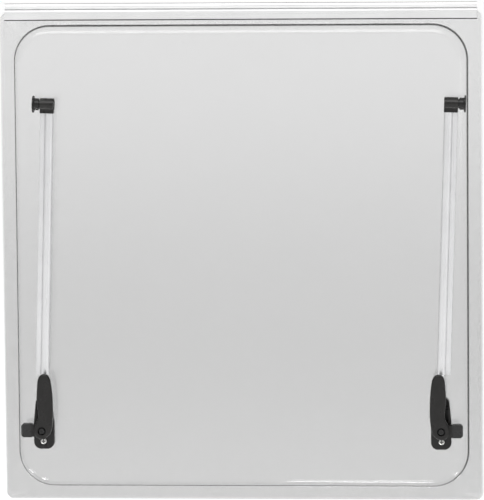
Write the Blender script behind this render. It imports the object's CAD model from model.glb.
import math

import bpy
from bpy.props import FloatProperty, FloatVectorProperty, PointerProperty
from mathutils import Matrix, Vector


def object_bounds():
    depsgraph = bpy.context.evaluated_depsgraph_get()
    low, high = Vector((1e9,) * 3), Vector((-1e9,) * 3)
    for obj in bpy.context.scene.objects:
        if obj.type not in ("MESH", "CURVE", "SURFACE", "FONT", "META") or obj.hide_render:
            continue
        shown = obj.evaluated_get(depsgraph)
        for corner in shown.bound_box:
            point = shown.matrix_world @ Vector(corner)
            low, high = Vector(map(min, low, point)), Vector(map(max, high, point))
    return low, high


bl_info = {
    "name": "Acrylic window sash finishes",
    "version": (1, 0, 0),
    "blender": (4, 5, 0),
    "location": "3D View > Sidebar > Window Sash",
    "description": "Finishes, studio and camera for a top-hung acrylic sash with stays and latches",
    "category": "Object",
}

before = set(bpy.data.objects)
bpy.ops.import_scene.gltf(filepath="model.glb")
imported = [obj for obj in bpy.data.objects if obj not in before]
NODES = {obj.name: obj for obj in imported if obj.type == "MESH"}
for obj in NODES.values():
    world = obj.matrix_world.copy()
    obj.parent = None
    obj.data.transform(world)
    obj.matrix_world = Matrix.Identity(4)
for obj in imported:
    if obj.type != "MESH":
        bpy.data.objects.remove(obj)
CAD_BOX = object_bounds()
SIDES = ("left", "right")
MM = 0.001

# Depths on the drawn pane, toward the room: the face of its bonding flange, and where the dark
# line at the foot of the step is full, starts to fade and ends
FLANGE_FACE = -0.0030
FOOT_START = -0.0032
FOOT_FADE = -0.0078
FOOT_END = -0.0110
# How squarely the acrylic faces the room, 1 for flat on, where each effect starts and is full
WALL_TINT = (0.62, 0.18)
FOOT_LINE = (0.93, 0.55)
WALL_MATTING = (0.80, 0.20)
# Metres of outward turn, the normal times the way from the sash's middle, that make an outer skin
OUTWARD_TURN = 0.05
# The pane's lower tint holds up to this height above its bottom edge
LOWER_TINT_HEIGHT = 0.10
# What a face-on acrylic surface mirrors, how steeply that rises toward a grazing view, and the
# share of it that a drawn wall keeps
FACE_ON_MIRROR = 0.04
MIRROR_RISE = 5.0
WALL_MIRROR = 0.1
# How open a metal surface is to its surroundings, 1 for flat, where grime is full and where it ends
CLEAN_OPENNESS = (0.45, 0.85)
# The usual span of a grain pattern's value
GRAIN_SPAN = (0.35, 0.65)

# Greys of the white studio in front of the sash, at its sides and behind it above the floor
STUDIO_FRONT = "#CACACA"
STUDIO_FLANKS = "#8C8C8C"
STUDIO_BEHIND = "#9A9A9A"
# Where each of them starts and is full, along one axis of the direction looked in, and the heights
# between which the grey behind the sash and the white overhead come in
FRONT_SPAN = (-0.25, -0.95)
FLANK_SPAN = (0.55, 0.98)
BEHIND_SPAN = (0.1, 0.5)
HORIZON_SPAN = (0.04, 0.25)
OVERHEAD_SPAN = (0.35, 0.85)
FLOOR_HALF = 40.0
# Name, place from the sash's middle, width, height and power of each lamp. The soft key and fill
# light the whole sash, and the small ones glint in the rounded edge of the drawn step
LAMPS = (
    ("soft_key", (-0.5, -2.2, 2.75), 3.4, 1.9, 60.0),
    ("soft_fill", (2.2, -2.4, 0.6), 0.8, 1.6, 6.0),
    ("low_strip", (0.117, -0.19, -0.557), 0.19, 0.09, 0.55),
    ("glint_left", (-0.50, -0.15, -0.51), 0.07, 0.07, 0.36),
    ("glint_low", (-0.35, -0.21, -0.57), 0.08, 0.05, 0.33),
    ("glint_right", (0.48, -0.08, -0.56), 0.06, 0.06, 0.24),
)

# The camera's turn, drop and roll in degrees, the point it looks at and its lens in millimetres
CAMERA_YAW = 4.3
CAMERA_PITCH = 6.3
CAMERA_ROLL = -0.51
CAMERA_TARGET = (-0.00013, 0.0, -0.27437)
CAMERA_LENS = 320.5
CAMERA_SENSOR = 36.0


# ---------------------------------------------------------------- helpers


def linear(colour):
    """A sRGB hex colour as the linear values that a shader takes."""
    channels = [int(colour[i : i + 2], 16) / 255 for i in (1, 3, 5)]
    return tuple(c / 12.92 if c <= 0.04045 else ((c + 0.055) / 1.055) ** 2.4 for c in channels)


def rgba(colour):
    """Four linear values from a sRGB hex colour, or from a colour that is linear already."""
    channels = linear(colour) if isinstance(colour, str) else tuple(colour)
    return (*channels[:3], 1.0)


def add_node(tree, kind, settings=None, values=None, links=None):
    """Add one shader node, set its own settings and socket values, and link its inputs."""
    node = tree.nodes.new(kind)
    for name, value in (settings or {}).items():
        setattr(node, name, value)
    for socket, value in (values or {}).items():
        node.inputs[socket].default_value = value
    for socket, source in (links or {}).items():
        tree.links.new(source, node.inputs[socket])
    return node


def new_material(name):
    """An empty node material with its output and the object's own coordinates in metres."""
    material = bpy.data.materials.new(name)
    material.use_nodes = True
    tree = material.node_tree
    tree.nodes.clear()
    output = add_node(tree, "ShaderNodeOutputMaterial")
    place = add_node(tree, "ShaderNodeTexCoord").outputs["Object"]
    return material, tree, output, place


def grain(tree, place, cell_mm, detail):
    """A cloudy pattern whose cells have a real size in millimetres in each direction."""
    scale = tuple(1.0 / (size * MM) for size in cell_mm)
    sized = add_node(tree, "ShaderNodeMapping", values={"Scale": scale}, links={"Vector": place})
    cloudy = add_node(
        tree,
        "ShaderNodeTexNoise",
        values={"Scale": 1.0, "Detail": detail},
        links={"Vector": sized.outputs["Vector"]},
    )
    return cloudy.outputs["Fac"]


def mask(tree, *fades):
    """The product of smooth fades, each a source, where it gives 0 and where it gives 1."""
    product = None
    for source, nothing, full in fades:
        fade = add_node(
            tree,
            "ShaderNodeMapRange",
            settings={"interpolation_type": "SMOOTHSTEP"},
            values={
                "From Min": min(nothing, full),
                "From Max": max(nothing, full),
                "To Min": float(full < nothing),
                "To Max": float(full > nothing),
            },
            links={"Value": source},
        ).outputs["Result"]
        if product is None:
            product = fade
        else:
            both = add_node(
                tree,
                "ShaderNodeMath",
                settings={"operation": "MULTIPLY"},
                links={0: product, 1: fade},
            )
            product = both.outputs["Value"]
    return product


def layered(tree, base, *layers):
    """A base colour with others laid over it, each by its own mask. A colour is plain or a socket.
    In the Mix node inputs 6 and 7 are its two colours, and output 2 is their mix."""
    for cover, colour in layers:
        mixed = add_node(tree, "ShaderNodeMix", settings={"data_type": "RGBA"}, links={0: cover})
        for socket, tone in ((6, base), (7, colour)):
            if isinstance(tone, bpy.types.NodeSocket):
                tree.links.new(tone, mixed.inputs[socket])
            else:
                mixed.inputs[socket].default_value = rgba(tone)
        base = mixed.outputs[2]
    return base


def mottled(tree, pattern, first, second):
    """Two tones in soft patches, mixed over the usual span of a pattern."""
    patches = add_node(
        tree,
        "ShaderNodeMapRange",
        values={"From Min": GRAIN_SPAN[0], "From Max": GRAIN_SPAN[1]},
        links={"Value": pattern},
    )
    return layered(tree, first, (patches.outputs["Result"], second))


def surface(tree, kind, values, ranges, links=None, relief=None):
    """Add a surface shader of a kind. Each of its ranges is a pattern and the two values that its
    usual span gives, and its relief is a pattern, a strength and the millimetres it stands proud."""
    sources = dict(links or {})
    for socket, (pattern, low, high) in ranges.items():
        spread = add_node(
            tree,
            "ShaderNodeMapRange",
            values={
                "From Min": GRAIN_SPAN[0],
                "From Max": GRAIN_SPAN[1],
                "To Min": low,
                "To Max": high,
            },
            links={"Value": pattern},
        )
        sources[socket] = spread.outputs["Result"]
    if relief:
        pattern, strength, proud_mm = relief
        bent = add_node(
            tree,
            "ShaderNodeBump",
            values={"Strength": strength, "Distance": proud_mm * MM},
            links={"Height": pattern},
        )
        sources["Normal"] = bent.outputs["Normal"]
    return add_node(tree, kind, values=values, links=sources).outputs["BSDF"]


# -------------------------------------------------------------- materials


def outward_turn(tree, geometry, place):
    """How far a surface faces away from the sash's middle: its normal times the way from there, in
    metres. The normal is turned back where the ray meets the surface from inside the sheet."""
    to_middle = tuple(-(low + high) / 2 for low, high in zip(*CAD_BOX))
    from_middle = add_node(
        tree,
        "ShaderNodeVectorMath",
        settings={"operation": "ADD"},
        values={1: to_middle},
        links={0: place},
    )
    outward = add_node(
        tree,
        "ShaderNodeVectorMath",
        settings={"operation": "DOT_PRODUCT"},
        links={0: geometry["Normal"], 1: from_middle.outputs["Vector"]},
    )
    turned_back = add_node(
        tree,
        "ShaderNodeMapRange",
        values={"To Min": 1.0, "To Max": -1.0},
        links={"Value": geometry["Backfacing"]},
    )
    turn = add_node(
        tree,
        "ShaderNodeMath",
        settings={"operation": "MULTIPLY"},
        links={0: outward.outputs["Value"], 1: turned_back.outputs["Result"]},
    )
    return turn.outputs["Value"]


def grazing_mirror(tree, squareness):
    """The share that clear acrylic mirrors: a little face on, all of it at a grazing view, and
    less on the drawn walls, whose skin is slightly matt."""
    slant = add_node(tree, "ShaderNodeLayerWeight", values={"Blend": 0.5})
    steep = add_node(
        tree,
        "ShaderNodeMath",
        settings={"operation": "POWER"},
        values={1: MIRROR_RISE},
        links={0: slant.outputs["Facing"]},
    )
    mirror = add_node(
        tree,
        "ShaderNodeMapRange",
        values={"To Min": FACE_ON_MIRROR, "To Max": 1.0},
        links={"Value": steep.outputs["Value"]},
    )
    matting = add_node(
        tree,
        "ShaderNodeMapRange",
        values={"To Min": 1.0, "To Max": WALL_MIRROR},
        links={"Value": mask(tree, (squareness, *WALL_MATTING))},
    )
    share = add_node(
        tree,
        "ShaderNodeMath",
        settings={"operation": "MULTIPLY"},
        links={0: mirror.outputs["Result"], 1: matting.outputs["Result"]},
    )
    return share.outputs["Value"]


def acrylic(name, clear, upper, edge, foot, wave_mm, wave_strength, dust):
    """Clear acrylic sheet: a faint grey tint, slightly darker walls and cut edges, a dark line in the
    small radius at the foot of the drawn step, a glossy reflection with slight waviness, and a
    thin uneven film of dust."""
    material, tree, output, place = new_material(name)
    geometry = add_node(tree, "ShaderNodeNewGeometry").outputs
    facing = add_node(tree, "ShaderNodeSeparateXYZ", links={"Vector": geometry["Normal"]}).outputs
    squareness = add_node(
        tree,
        "ShaderNodeMath",
        settings={"operation": "ABSOLUTE"},
        links={0: facing["Y"]},
    ).outputs["Value"]
    at = add_node(tree, "ShaderNodeSeparateXYZ", links={"Vector": place}).outputs
    outer_skin = (outward_turn(tree, geometry, place), 0.0, OUTWARD_TURN)
    height = mask(tree, (at["Z"], CAD_BOX[0].z + LOWER_TINT_HEIGHT, CAD_BOX[1].z))
    wall = mask(tree, (squareness, *WALL_TINT), outer_skin)
    foot_line = mask(
        tree,
        (squareness, *FOOT_LINE),
        outer_skin,
        (at["Y"], FOOT_END, FOOT_FADE),
        (at["Y"], FLANGE_FACE, FOOT_START),
    )
    colour = layered(tree, clear, (height, upper), (wall, edge), (foot_line, foot))
    film = grain(tree, place, (60, 60, 90), detail=4.0)
    waves = grain(tree, place, (wave_mm,) * 3, detail=1.0)
    through = add_node(tree, "ShaderNodeBsdfTransparent", links={"Color": colour})
    gloss = surface(
        tree,
        "ShaderNodeBsdfAnisotropic",
        values={"Color": (1.0, 1.0, 1.0, 1.0)},
        ranges={"Roughness": (film, 0.04, dust)},
        relief=(waves, wave_strength, 0.2),
    )
    sheet = add_node(
        tree,
        "ShaderNodeMixShader",
        links={0: grazing_mirror(tree, squareness), 1: through.outputs["BSDF"], 2: gloss},
    )
    tree.links.new(sheet.outputs["Shader"], output.inputs["Surface"])
    return material


def anodised_aluminium(name, light, clouding, along, roughness, metal):
    """Natural anodised extrusion: pale satin metal with fine die lines along one of its axes and a
    slight cloudiness from the anodic film. The die lines are drawn coarser than real, 0.7 mm."""
    dark = tuple(clouding * channel for channel in light)
    material, tree, output, place = new_material(name)
    fine = [0.7, 0.7, 0.7]
    fine[along] = 160.0
    lines = grain(tree, place, fine, detail=3.0)
    cloud = grain(tree, place, (35, 35, 35), detail=3.0)
    shader = surface(
        tree,
        "ShaderNodeBsdfPrincipled",
        values={"Metallic": metal},
        links={"Base Color": mottled(tree, cloud, light, dark)},
        ranges={"Roughness": (lines, roughness - 0.06, roughness + 0.08)},
        relief=(lines, 0.25, 0.02),
    )
    tree.links.new(shader, output.inputs["Surface"])
    return material


def moulded_plastic(name, dark, worn, grain_mm, roughness, texture):
    """Moulded engineering plastic: near black, fine spark-eroded texture, slightly greyer and
    shinier where hands and edges rub it."""
    material, tree, output, place = new_material(name)
    spark_marks = grain(tree, place, (grain_mm,) * 3, detail=2.0)
    rub = grain(tree, place, (9, 9, 16), detail=3.0)
    worn_edge = add_node(
        tree,
        "ShaderNodeMapRange",
        values={"From Min": 0.52, "From Max": 0.60},
        links={"Value": add_node(tree, "ShaderNodeNewGeometry").outputs["Pointiness"]},
    )
    worn_patch = add_node(
        tree,
        "ShaderNodeMapRange",
        values={"From Min": GRAIN_SPAN[0], "From Max": GRAIN_SPAN[1], "To Max": 0.35},
        links={"Value": rub},
    )
    wear = add_node(
        tree,
        "ShaderNodeMath",
        settings={"operation": "MAXIMUM"},
        links={0: worn_edge.outputs["Result"], 1: worn_patch.outputs["Result"]},
    )
    shader = surface(
        tree,
        "ShaderNodeBsdfPrincipled",
        values={"IOR": 1.53, "Specular IOR Level": 0.27},
        links={"Base Color": layered(tree, dark, (wear.outputs["Value"], worn))},
        ranges={"Roughness": (rub, roughness + 0.06, roughness - 0.08)},
        relief=(spark_marks, texture, 0.06),
    )
    tree.links.new(shader, output.inputs["Surface"])
    return material


def rubber(name, dark, bloom):
    """Extruded EPDM rubber: dull charcoal with a pale dusty bloom in patches."""
    material, tree, output, place = new_material(name)
    patches = grain(tree, place, (22, 4, 4), detail=4.0)
    skin = grain(tree, place, (0.8, 0.8, 0.8), detail=2.0)
    shader = surface(
        tree,
        "ShaderNodeBsdfPrincipled",
        values={"IOR": 1.52},
        links={"Base Color": mottled(tree, patches, dark, bloom)},
        ranges={"Roughness": (patches, 0.62, 0.85)},
        relief=(skin, 0.3, 0.05),
    )
    tree.links.new(shader, output.inputs["Surface"])
    return material


def bright_metal(name, light, dark, roughness, marks_mm, texture, grime_mm=0.0):
    """Drawn, plated or turned metal: a clean reflection broken by fine working marks. A grime
    distance adds the dark dirt that collects in a recess of about that depth."""
    material, tree, output, place = new_material(name)
    marks = grain(tree, place, marks_mm, detail=3.0)
    tarnish = grain(tree, place, (7, 7, 7), detail=3.0)
    colour = mottled(tree, tarnish, light, dark)
    if grime_mm:
        openness = add_node(tree, "ShaderNodeAmbientOcclusion", values={"Distance": grime_mm * MM})
        clean = mask(tree, (openness.outputs["AO"], *CLEAN_OPENNESS))
        colour = layered(tree, "#1A1A19", (clean, colour))
    shader = surface(
        tree,
        "ShaderNodeBsdfPrincipled",
        values={"Metallic": 1.0},
        links={"Base Color": colour},
        ranges={"Roughness": (marks, roughness - 0.05, roughness + 0.1)},
        relief=(marks, texture, 0.02),
    )
    tree.links.new(shader, output.inputs["Surface"])
    return material


def solvent_bond(name, pale, cloudy):
    """Solvent adhesive joint: it wets both sheets, so it is almost unseen, with a faint milky,
    uneven spread."""
    material, tree, output, place = new_material(name)
    uneven = grain(tree, place, (12, 3, 12), detail=4.0)
    shader = surface(
        tree,
        "ShaderNodeBsdfPrincipled",
        values={"IOR": 1.1},
        links={"Base Color": mottled(tree, uneven, pale, cloudy)},
        ranges={"Alpha": (uneven, 0.01, 0.03), "Roughness": (uneven, 0.3, 0.6)},
    )
    tree.links.new(shader, output.inputs["Surface"])
    return material


def give(node_name, material):
    """Put a material on a carried-over node, in place of the plain one it came with."""
    for slot in NODES[node_name].material_slots:
        slot.material = material


def give_pair(names, material):
    """Put a material on the left and the right node of each name."""
    for name in names:
        for side in SIDES:
            give(side + "_" + name, material)


def soften(names, width):
    """Round the moulded edges a little, by a modifier on the carried-over nodes."""
    for name in names:
        for side in SIDES:
            edge = NODES[side + "_" + name].modifiers.new("moulded_edge", "BEVEL")
            edge.width = width
            edge.segments = 2
            edge.limit_method = "ANGLE"
            edge.angle_limit = math.radians(40)
            edge.use_clamp_overlap = True


# ------------------------------------------------------------- properties


class SashFinish(bpy.types.PropertyGroup):
    pane: FloatVectorProperty(
        name="Pane",
        description="What one surface of the acrylic sheet lets through in the lower part of the sash",
        subtype="COLOR",
        min=0.0,
        max=1.0,
        default=linear("#EEEEEE"),
    )
    pane_upper: FloatVectorProperty(
        name="Pane, upper part",
        description="What one surface of the acrylic sheet lets through near the rail",
        subtype="COLOR",
        min=0.0,
        max=1.0,
        default=linear("#F7F7F7"),
    )
    rail: FloatVectorProperty(
        name="Rail",
        description="The anodised hinge rail",
        subtype="COLOR",
        min=0.0,
        max=1.0,
        default=linear("#E4E4E4"),
    )
    tube: FloatVectorProperty(
        name="Stay tube",
        description="The anodised outer tubes of the stays",
        subtype="COLOR",
        min=0.0,
        max=1.0,
        default=linear("#D3D3D4"),
    )
    moulding: FloatVectorProperty(
        name="Mouldings",
        description="The nylon of the levers, bases and stay heads",
        subtype="COLOR",
        min=0.0,
        max=1.0,
        default=linear("#141312"),
    )
    rubbed: FloatVectorProperty(
        name="Rubbed mouldings",
        description="The same nylon where hands and edges rub it",
        subtype="COLOR",
        min=0.0,
        max=1.0,
        default=linear("#222120"),
    )
    latch_edge: FloatProperty(
        name="Latch edge radius",
        description="How far the moulded edges of the latch bases are rounded",
        unit="LENGTH",
        default=0.0004,
        min=0.0,
    )
    head_edge: FloatProperty(
        name="Stay head edge radius",
        description="How far the moulded edges of the stay heads are rounded",
        unit="LENGTH",
        default=0.0003,
        min=0.0,
    )


class SashStudio(bpy.types.PropertyGroup):
    world_strength: FloatProperty(
        name="Studio brightness",
        description="Brightness of the white studio round the sash",
        default=1.1,
        min=0.0,
    )
    floor_glow: FloatProperty(
        name="Floor lift",
        description="How much the pale floor is lifted toward white",
        default=0.31,
        min=0.0,
    )
    floor_drop: FloatProperty(
        name="Floor drop",
        description="How far the floor is below the hung sash",
        unit="LENGTH",
        default=0.3,
        min=0.0,
    )
    distance: FloatProperty(
        name="Camera distance",
        description="From the camera to the middle of the sash",
        unit="LENGTH",
        default=5.0,
    )


# -------------------------------------------------------------- operators


class SASH_OT_stage(bpy.types.Operator):
    """Lay the pale floor, light the studio and stand the camera in front of the sash"""

    bl_idname = "sash.stage"
    bl_label = "Stage, lights and camera"

    def execute(self, context):
        studio = context.scene.sash_studio
        scene = context.scene
        world = bpy.data.worlds.new("white_studio")
        world.use_nodes = True
        tree = world.node_tree
        tree.nodes.clear()
        toward = add_node(
            tree,
            "ShaderNodeSeparateXYZ",
            links={"Vector": add_node(tree, "ShaderNodeTexCoord").outputs["Generated"]},
        )
        x, y, z = (toward.outputs[axis] for axis in "XYZ")
        sideways = add_node(
            tree,
            "ShaderNodeMath",
            settings={"operation": "ABSOLUTE"},
            links={0: x},
        ).outputs["Value"]
        walls = layered(
            tree,
            "#FFFFFF",
            (mask(tree, (y, *FRONT_SPAN)), STUDIO_FRONT),
            (mask(tree, (sideways, *FLANK_SPAN)), STUDIO_FLANKS),
            (mask(tree, (z, *OVERHEAD_SPAN)), "#FFFFFF"),
            (mask(tree, (y, *BEHIND_SPAN), (z, *HORIZON_SPAN)), STUDIO_BEHIND),
        )
        background = add_node(
            tree,
            "ShaderNodeBackground",
            values={"Strength": studio.world_strength},
            links={"Color": walls},
        )
        output = add_node(tree, "ShaderNodeOutputWorld")
        tree.links.new(background.outputs["Background"], output.inputs["Surface"])
        scene.world = world

        low, high = CAD_BOX
        mesh = bpy.data.meshes.new("studio_floor")
        quarters = ((-1, -1), (1, -1), (1, 1), (-1, 1))
        corners = [(x_side * FLOOR_HALF, y_side * FLOOR_HALF, 0) for x_side, y_side in quarters]
        mesh.from_pydata(corners, [], [(0, 1, 2, 3)])
        floor = bpy.data.objects.new("studio_floor", mesh)
        floor.location = (0.0, 0.0, low.z - studio.floor_drop)
        scene.collection.objects.link(floor)
        material, tree, output, place = new_material("matt_white_paper")
        fibres = grain(tree, place, (40, 40, 40), detail=3.0)
        paper = add_node(
            tree,
            "ShaderNodeBsdfPrincipled",
            values={
                "Roughness": 0.9,
                "Emission Strength": studio.floor_glow,
                "Emission Color": (1.0, 1.0, 1.0, 1.0),
            },
            links={"Base Color": layered(tree, "#F2F2F2", (fibres, "#F5F5F5"))},
        )
        tree.links.new(paper.outputs["BSDF"], output.inputs["Surface"])
        mesh.materials.append(material)

        middle = (low + high) / 2
        for name, offset, wide, tall, power in LAMPS:
            lamp = bpy.data.lights.new(name, "AREA")
            lamp.shape = "RECTANGLE"
            lamp.size = wide
            lamp.size_y = tall
            lamp.energy = power
            light = bpy.data.objects.new(name, lamp)
            light.location = middle + Vector(offset)
            aim = Vector((offset[0] / 2, 0.0, min(0.0, offset[2] / 2))) - Vector(offset)
            light.rotation_euler = aim.to_track_quat("-Z", "Y").to_euler()
            light.visible_camera = False
            scene.collection.objects.link(light)

        yaw, pitch, roll = (math.radians(angle) for angle in (CAMERA_YAW, CAMERA_PITCH, CAMERA_ROLL))
        forward = Vector(
            (
                -math.sin(yaw) * math.cos(pitch),
                math.cos(yaw) * math.cos(pitch),
                -math.sin(pitch),
            )
        )
        level = Vector((math.cos(yaw), math.sin(yaw), 0.0))
        upright = level.cross(forward)
        right = math.cos(roll) * level + math.sin(roll) * upright
        above = -math.sin(roll) * level + math.cos(roll) * upright
        data = bpy.data.cameras.new("studio_camera")
        data.sensor_width = CAMERA_SENSOR
        data.lens = CAMERA_LENS
        data.clip_start = 0.05
        data.clip_end = 100.0
        camera = bpy.data.objects.new("studio_camera", data)
        turned = Matrix((right, above, -forward)).transposed().to_4x4()
        stand = Vector(CAMERA_TARGET) - forward * studio.distance
        camera.matrix_world = Matrix.Translation(stand) @ turned
        scene.collection.objects.link(camera)
        scene.camera = camera
        scene.view_settings.view_transform = "Standard"
        scene.view_settings.look = "None"
        return {"FINISHED"}


class SASH_OT_panes(bpy.types.Operator):
    """Finish the two acrylic panes, their bond and the blocks behind the latches"""

    bl_idname = "sash.panes"
    bl_label = "Acrylic panes"

    def execute(self, context):
        clear, upper = context.scene.sash_finish.pane, context.scene.sash_finish.pane_upper
        cast = acrylic(
            "cast_acrylic_sheet",
            clear,
            upper,
            edge="#D0D0D0",
            foot="#D0D0D0",
            wave_mm=180.0,
            wave_strength=0.15,
            dust=0.08,
        )
        drawn = acrylic(
            "vacuum_drawn_acrylic",
            clear,
            upper,
            edge="#ECECEC",
            foot="#6A6A6A",
            wave_mm=120.0,
            wave_strength=0.25,
            dust=0.10,
        )
        bond = solvent_bond("solvent_bond_joint", "#CFCFCF", "#C4C4C4")
        give("outer_pane", cast)
        give("inner_pane", drawn)
        give("perimeter_bond", bond)
        give_pair(("mounting_block",), cast)
        return {"FINISHED"}


class SASH_OT_rail(bpy.types.Operator):
    """Finish the hinge rail and its gasket"""

    bl_idname = "sash.rail"
    bl_label = "Hinge rail"

    def execute(self, context):
        pale = context.scene.sash_finish.rail
        rail = anodised_aluminium(
            "anodised_extruded_rail", pale, clouding=0.96, along=0, roughness=0.32, metal=0.75
        )
        give("hinge_rail", rail)
        give("rail_gasket", rubber("epdm_rubber_extruded", "#2A2A2A", "#4A4A49"))
        return {"FINISHED"}


class SASH_OT_stays(bpy.types.Operator):
    """Finish the two telescopic stays"""

    bl_idname = "sash.stays"
    bl_label = "Telescopic stays"

    def execute(self, context):
        finish = context.scene.sash_finish
        tube = anodised_aluminium(
            "satin_anodised_tube", finish.tube, clouding=0.95, along=2, roughness=0.30, metal=0.8
        )
        rod = bright_metal("drawn_stainless_rod", "#E4E4E6", "#D2D2D5", 0.22, (0.6, 0.6, 40), 0.2)
        nylon = moulded_plastic(
            "moulded_glass_filled_nylon", finish.moulding, finish.rubbed, 0.9, 0.30, 0.16
        )
        acetal = moulded_plastic("moulded_black_acetal", "#141414", "#222222", 1.4, 0.28, 0.10)
        spring = bright_metal("stainless_spring_strip", "#B9BABC", "#A3A4A6", 0.28, (3, 0.6, 0.6), 0.2)
        rivet = bright_metal("drawn_aluminium_rivet", "#CFCFD0", "#BDBDBE", 0.34, (0.8, 0.8, 0.8), 0.2)
        give_pair(("outer_tube",), tube)
        give_pair(("inner_rod",), rod)
        give_pair(("stay_head", "stay_foot"), nylon)
        soften(("stay_head",), finish.head_edge)
        give_pair(("stud", "rod_stop", "guide_bush"), acetal)
        give_pair(("catch_strip", "stud_clip"), spring)
        give_pair(("tube_rivet",), rivet)
        return {"FINISHED"}


class SASH_OT_latches(bpy.types.Operator):
    """Finish the two latches with their levers, buttons, pads and screws"""

    bl_idname = "sash.latches"
    bl_label = "Latch levers"

    def execute(self, context):
        finish = context.scene.sash_finish
        nylon = moulded_plastic("moulded_nylon_latch", finish.moulding, finish.rubbed, 0.9, 0.32, 0.16)
        acetal = moulded_plastic("moulded_acetal_latch", "#141414", "#222222", 1.4, 0.28, 0.10)
        zinc = bright_metal(
            "zinc_plated_steel", "#C4C4C2", "#AEAEAB", 0.22, (1.2, 1.2, 1.2), 0.2, grime_mm=2.0
        )
        spring = bright_metal("stainless_spring_wire", "#B9BABC", "#A3A4A6", 0.28, (0.5, 0.5, 3), 0.2)
        blackened = bright_metal("blackened_steel", "#2B2B2C", "#1F1F20", 0.4, (0.8, 0.8, 0.8), 0.1)
        brass = bright_metal("turned_brass", "#B4945A", "#9C7D45", 0.3, (0.4, 6, 0.4), 0.2)
        pad = rubber("epdm_rubber_moulded", "#252525", "#3B3B3A")
        give_pair(("latch_base", "lever"), nylon)
        soften(("latch_base", "tongue_shoe"), finish.latch_edge)
        give_pair(("tongue_shoe", "release_button", "button_plunger"), acetal)
        give_pair(("base_screws",), zinc)
        give_pair(("foot_pin", "pivot_ring"), blackened)
        give_pair(("button_spring",), spring)
        give_pair(("screw_inserts",), brass)
        give_pair(("base_pad",), pad)
        return {"FINISHED"}


class SASH_PT_panel(bpy.types.Panel):
    """Lists the sash's colours and sizes, and the steps that finish it"""

    bl_idname = "SASH_PT_panel"
    bl_label = "Window Sash"
    bl_space_type = "VIEW_3D"
    bl_region_type = "UI"
    bl_category = "Window Sash"

    def draw(self, context):
        for group in (context.scene.sash_finish, context.scene.sash_studio):
            for name in type(group).__annotations__:
                self.layout.prop(group, name)
        for one in OPERATORS:
            self.layout.operator(one.bl_idname)


OPERATORS = (SASH_OT_stage, SASH_OT_panes, SASH_OT_rail, SASH_OT_stays, SASH_OT_latches)
CLASSES = (SashFinish, SashStudio, *OPERATORS, SASH_PT_panel)


def register():
    for one in CLASSES:
        bpy.utils.register_class(one)
    bpy.types.Scene.sash_finish = PointerProperty(type=SashFinish)
    bpy.types.Scene.sash_studio = PointerProperty(type=SashStudio)


def unregister():
    del bpy.types.Scene.sash_studio
    del bpy.types.Scene.sash_finish
    for one in reversed(CLASSES):
        bpy.utils.unregister_class(one)


def main():
    register()
    bpy.ops.sash.stage()
    bpy.ops.sash.panes()
    bpy.ops.sash.rail()
    bpy.ops.sash.stays()
    bpy.ops.sash.latches()


if __name__ == "__main__":
    main()
